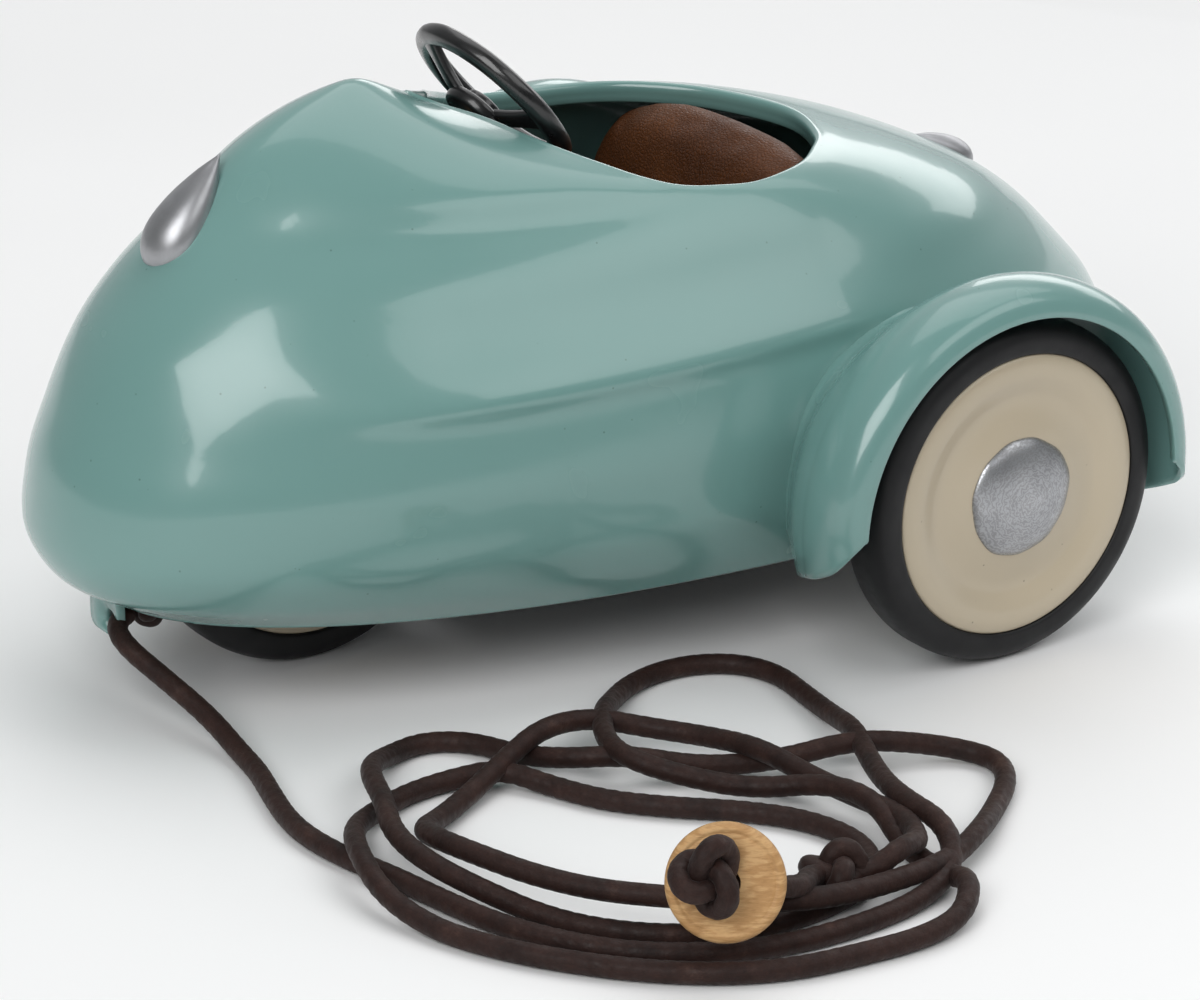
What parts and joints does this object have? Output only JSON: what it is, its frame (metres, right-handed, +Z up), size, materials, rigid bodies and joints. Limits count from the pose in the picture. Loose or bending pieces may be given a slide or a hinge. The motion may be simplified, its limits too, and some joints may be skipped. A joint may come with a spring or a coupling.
{
  "type": "pull-along toy roadster",
  "caption": "Streamlined pressed-metal pull-along toy roadster with rolling wheels, a turning steering wheel, a leather seat, and a knotted pull cord with a wooden disc toggle.",
  "frame": {"origin": "on the ground under the middle of the car's length and width; measured without the pull cord", "axes": "+Z up; -Y towards the nose; +X towards the car's left side, where the cord lies"},
  "size_m": [0.1718, 0.1631, 0.0788],
  "materials": {
    "teal_enamel": "gloss enamel over sheet steel",
    "cream_enamel": "satin enamel",
    "tyre": "satin black rubber",
    "black_gloss": "gloss black moulding",
    "silver_paint": "brushed silver paint",
    "brown_leather": "satin",
    "waxed_cord": "waxed braid",
    "pale_wood": "oiled",
    "steel": "zinc plated",
    "brass": "dull",
    "chassis_paint": "satin black"
  },
  "bodies": {
    "chassis": {"body_shell": "teal_enamel", "carrier_rivets": "steel", "column_bracket": "chassis_paint", "cord_coil": "waxed_cord", "cord_knot": "waxed_cord", "cord_lead": "waxed_cord", "cord_tail": "waxed_cord", "fender_left": "teal_enamel", "fender_right": "teal_enamel", "floor_pan": "chassis_paint", "floor_screws": "steel", "front_axle_pin": "steel", "front_fork": "chassis_paint", "headlamp": "silver_paint", "rear_axle_carrier": "chassis_paint", "rear_bush_left": "brass", "rear_bush_right": "brass", "seat_back": "brown_leather", "seat_cushion": "brown_leather", "seat_pan": "chassis_paint", "shell_lugs": "chassis_paint", "steering_column_bush": "brass", "tab_knot": "waxed_cord", "tail_lamp": "silver_paint", "toggle_disc": "pale_wood", "toggle_knot": "waxed_cord", "tow_tab": "teal_enamel"},
    "front_wheel": {"front_tyre": "tyre", "front_disc_left": "cream_enamel", "front_disc_right": "cream_enamel", "front_hub_tube": "steel"},
    "rear_wheelset": {"rear_axle": "steel", "rear_tyre_left": "tyre", "rear_tyre_right": "tyre", "rear_disc_left": "cream_enamel", "rear_disc_right": "cream_enamel", "rear_back_disc_left": "cream_enamel", "rear_back_disc_right": "cream_enamel", "hub_cap_left": "silver_paint", "hub_cap_right": "silver_paint", "axle_clips": "steel", "axle_spacers": "steel"},
    "steering": {"steering_wheel": "black_gloss", "steering_column": "steel", "steering_collar": "steel"}
  },
  "joints": [
    {"name": "front_wheel_spin", "type": "hinge", "parent": "chassis", "child": "front_wheel", "pos_m": [0, -0.04525, 0.0225], "axis": [1, 0, 0], "continuous": true},
    {"name": "rear_wheelset_spin", "type": "hinge", "parent": "chassis", "child": "rear_wheelset", "pos_m": [0, 0.02735, 0.0225], "axis": [1, 0, 0], "continuous": true},
    {"name": "steering_turn", "type": "hinge", "parent": "chassis", "child": "steering", "pos_m": [0, -0.01565, 0.0688], "axis": [0, 0.7771, 0.6293], "continuous": true}
  ]
}
